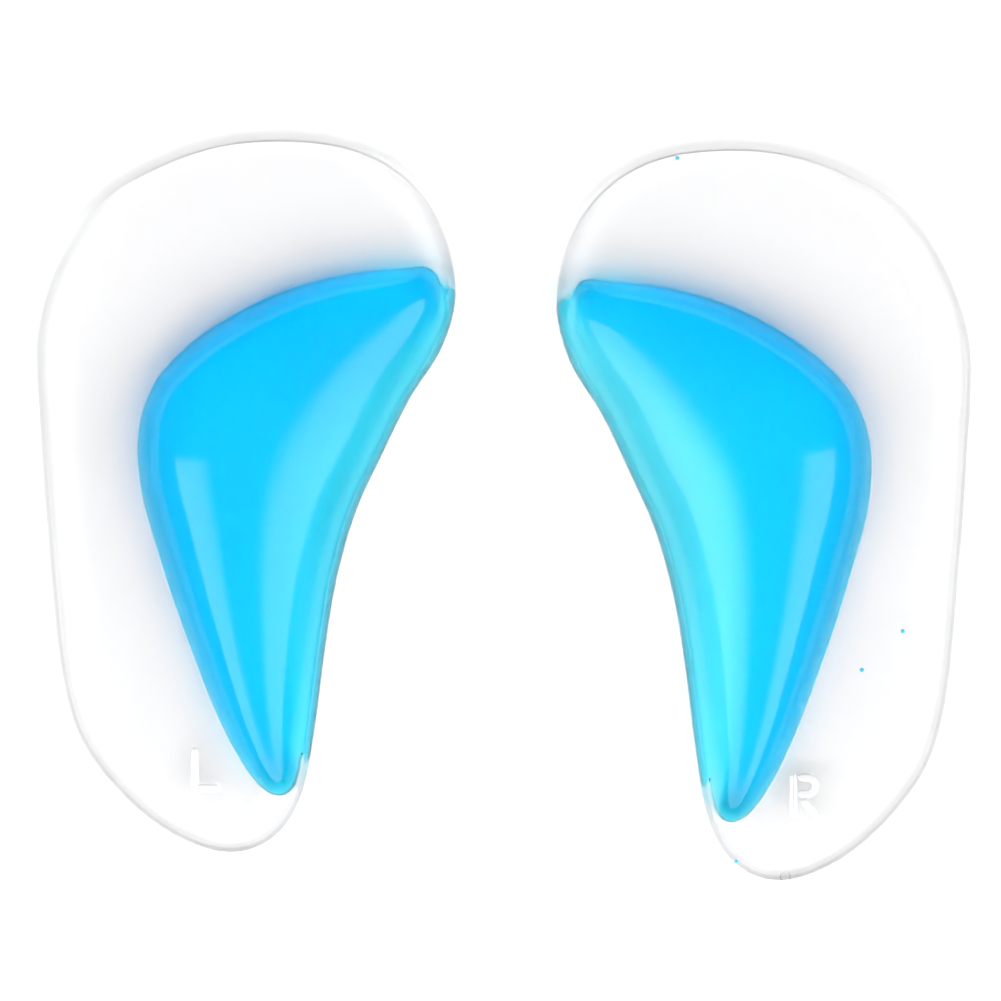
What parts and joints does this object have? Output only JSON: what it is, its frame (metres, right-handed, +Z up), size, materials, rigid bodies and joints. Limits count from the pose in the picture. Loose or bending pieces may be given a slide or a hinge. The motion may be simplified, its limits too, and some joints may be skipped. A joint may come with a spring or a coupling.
{
  "type": "gel arch support insole pair",
  "caption": "Left and right clear gel insole pads with a domed blue gel arch under the inner edge, each on a peel-off liner.",
  "frame": {"origin": "middle of the pair's bounding box, on the surface that the release liners lie on", "axes": "+Z up off the surface, +Y towards the toes, +X from the left pad to the right pad"},
  "size_m": [0.1294, 0.1026, 0.012],
  "materials": {
    "liner_film": "satin",
    "tacky_gel": "satin",
    "clear_gel": "gloss",
    "blue_gel": "gloss",
    "cover_film": "gloss"
  },
  "bodies": {
    "left_liner": {"left_release_liner": "liner_film"},
    "left_insole": {"left_adhesive_layer": "tacky_gel", "left_gel_body": "clear_gel", "left_arch_core": "blue_gel", "left_cover_film": "cover_film"},
    "right_liner": {"right_release_liner": "liner_film"},
    "right_insole": {"right_adhesive_layer": "tacky_gel", "right_gel_body": "clear_gel", "right_arch_core": "blue_gel", "right_cover_film": "cover_film"}
  },
  "joints": [
    {"name": "left_liner_peel", "type": "slide", "parent": "left_liner", "child": "left_insole", "axis": [0, 0, 1], "range_m": [0, 0.04]},
    {"name": "pads_apart", "type": "slide", "parent": "left_liner", "child": "right_liner", "axis": [1, 0, 0], "range_m": [0, 0.06]},
    {"name": "right_liner_peel", "type": "slide", "parent": "right_liner", "child": "right_insole", "axis": [0, 0, 1], "range_m": [0, 0.04]}
  ]
}
